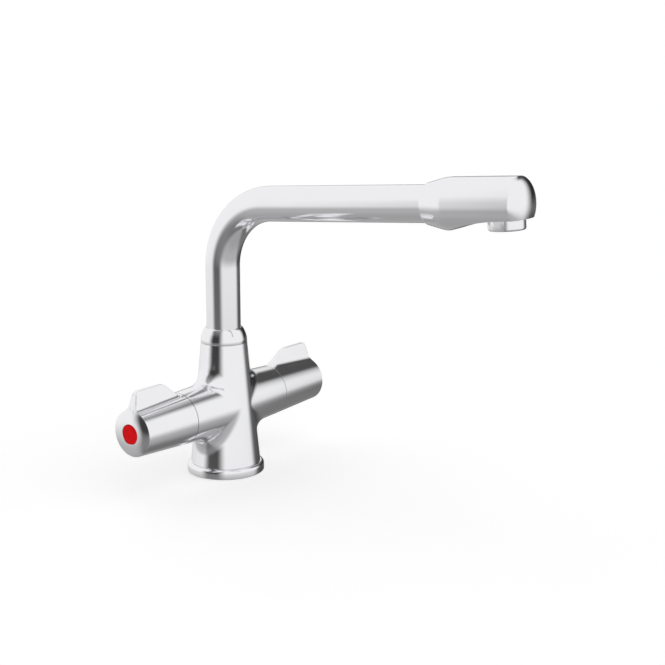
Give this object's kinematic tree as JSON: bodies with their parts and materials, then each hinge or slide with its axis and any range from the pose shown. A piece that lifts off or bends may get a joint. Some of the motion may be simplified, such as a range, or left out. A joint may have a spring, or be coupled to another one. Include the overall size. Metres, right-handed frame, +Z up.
{
  "type": "kitchen sink mixer tap",
  "caption": "Deck-mounted sink mixer tap: tapered column body, side lever heads with upright wings, swivelling bent tube spout and an aerated outlet head.",
  "frame": {"origin": "centre of the base ring's underside, where the tap stands on the sink", "axes": "+Z up, the spout reaches towards -Y (the user's side), hot lever head at -X, cold lever head at +X"},
  "size_m": [0.175, 0.2467, 0.2086],
  "materials": {
    "chrome": "satin chrome",
    "brass": "machined",
    "steel": "stainless",
    "black_rubber": "matt",
    "bearing_plastic": "smooth",
    "white_plastic": "smooth",
    "fibre": "matt",
    "ceramic": "lapped",
    "red_plastic": "gloss",
    "blue_plastic": "gloss"
  },
  "bodies": {
    "base": {"body": "chrome", "base_ring": "chrome", "base_seal": "black_rubber", "spout_collar": "chrome", "spout_bearing_ring": "bearing_plastic", "spout_thrust_washer": "bearing_plastic", "hot_valve_gasket": "fibre", "hot_valve_housing": "brass", "hot_seat_seal": "black_rubber", "hot_fixed_disc": "ceramic", "cold_valve_gasket": "fibre", "cold_valve_housing": "brass", "cold_seat_seal": "black_rubber", "cold_fixed_disc": "ceramic"},
    "spout": {"spout_tube": "chrome", "spout_spigot": "brass", "spout_orings": "black_rubber", "spout_nose": "chrome", "nose_oring": "black_rubber", "aerator_housing": "chrome", "aerator_washer": "black_rubber", "aerator_mesh": "steel", "aerator_insert": "white_plastic"},
    "hot_head": {"hot_moving_disc": "ceramic", "hot_spindle": "brass", "hot_spindle_oring": "black_rubber", "hot_spindle_clip": "steel", "hot_handle": "chrome", "hot_handle_screw": "steel", "hot_index": "red_plastic"},
    "cold_head": {"cold_moving_disc": "ceramic", "cold_spindle": "brass", "cold_spindle_oring": "black_rubber", "cold_spindle_clip": "steel", "cold_handle": "chrome", "cold_handle_screw": "steel", "cold_index": "blue_plastic"}
  },
  "joints": [
    {"name": "spout_swivel", "type": "hinge", "parent": "base", "child": "spout", "pos_m": [0, 0, 0.1], "axis": [0, 0, 1], "continuous": true},
    {"name": "hot_handle_turn", "type": "hinge", "parent": "base", "child": "hot_head", "pos_m": [-0.06, 0, 0.044], "axis": [1, 0, 0], "range_deg": [0, 90]},
    {"name": "cold_handle_turn", "type": "hinge", "parent": "base", "child": "cold_head", "pos_m": [0.06, 0, 0.044], "axis": [1, 0, 0], "range_deg": [0, 90]}
  ]
}
